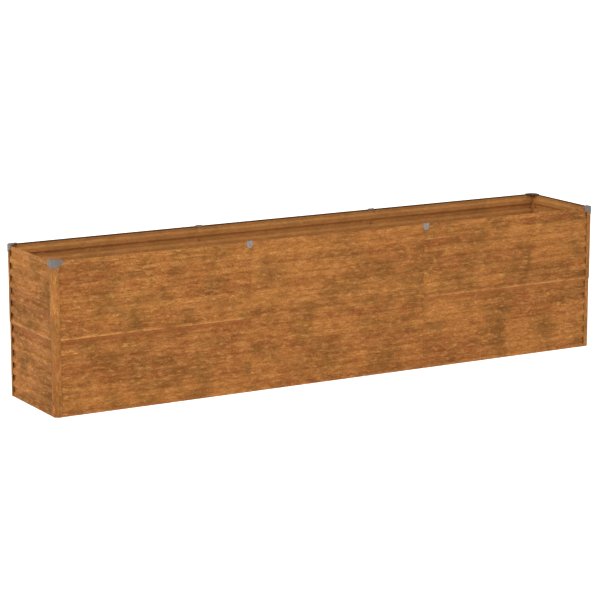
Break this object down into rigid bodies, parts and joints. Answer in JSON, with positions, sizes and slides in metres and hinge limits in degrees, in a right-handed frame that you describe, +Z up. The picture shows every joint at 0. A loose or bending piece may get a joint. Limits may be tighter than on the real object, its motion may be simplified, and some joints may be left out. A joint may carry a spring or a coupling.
{
  "type": "planter box",
  "caption": "Long raised planter of corrugated weathering steel sheets bolted to corner posts, open at top and bottom, with plastic caps on its rim.",
  "frame": {"origin": "middle of the base, on the ground", "axes": "+X along the planter, +Y from front to rear, +Z up"},
  "size_m": [3.2048, 0.5548, 0.774],
  "materials": {
    "weathering_steel": "orange-brown rust layer, matt, mottled",
    "zinc_plated_steel": "dull zinc plating",
    "grey_plastic": "satin moulded grey"
  },
  "bodies": {
    "root": {"bar_bolts": "weathering_steel", "bar_nuts": "weathering_steel", "corner_cap_front_left": "grey_plastic", "corner_cap_front_right": "grey_plastic", "corner_cap_rear_left": "grey_plastic", "corner_cap_rear_right": "grey_plastic", "corner_post_front_left_lower": "weathering_steel", "corner_post_front_left_upper": "weathering_steel", "corner_post_front_right_lower": "weathering_steel", "corner_post_front_right_upper": "weathering_steel", "corner_post_rear_left_lower": "weathering_steel", "corner_post_rear_left_upper": "weathering_steel", "corner_post_rear_right_lower": "weathering_steel", "corner_post_rear_right_upper": "weathering_steel", "front_sheet_left_lower": "weathering_steel", "front_sheet_left_upper": "weathering_steel", "front_sheet_middle_lower": "weathering_steel", "front_sheet_middle_upper": "weathering_steel", "front_sheet_right_lower": "weathering_steel", "front_sheet_right_upper": "weathering_steel", "joint_bolts": "weathering_steel", "joint_lap_bolts": "weathering_steel", "joint_lap_nuts": "weathering_steel", "joint_nuts": "weathering_steel", "left_end_sheet_lower": "weathering_steel", "left_end_sheet_upper": "weathering_steel", "post_bolts": "weathering_steel", "post_lap_bolts": "weathering_steel", "post_lap_nuts": "weathering_steel", "post_nuts": "weathering_steel", "rear_sheet_left_lower": "weathering_steel", "rear_sheet_left_upper": "weathering_steel", "rear_sheet_middle_lower": "weathering_steel", "rear_sheet_middle_upper": "weathering_steel", "rear_sheet_right_lower": "weathering_steel", "rear_sheet_right_upper": "weathering_steel", "right_end_sheet_lower": "weathering_steel", "right_end_sheet_upper": "weathering_steel", "rim_clip_front_left": "grey_plastic", "rim_clip_front_right": "grey_plastic", "rim_clip_rear_left": "grey_plastic", "rim_clip_rear_right": "grey_plastic", "tie_bar_left_lower": "zinc_plated_steel", "tie_bar_left_upper": "zinc_plated_steel", "tie_bar_right_lower": "zinc_plated_steel", "tie_bar_right_upper": "zinc_plated_steel"}
  },
  "joints": []
}
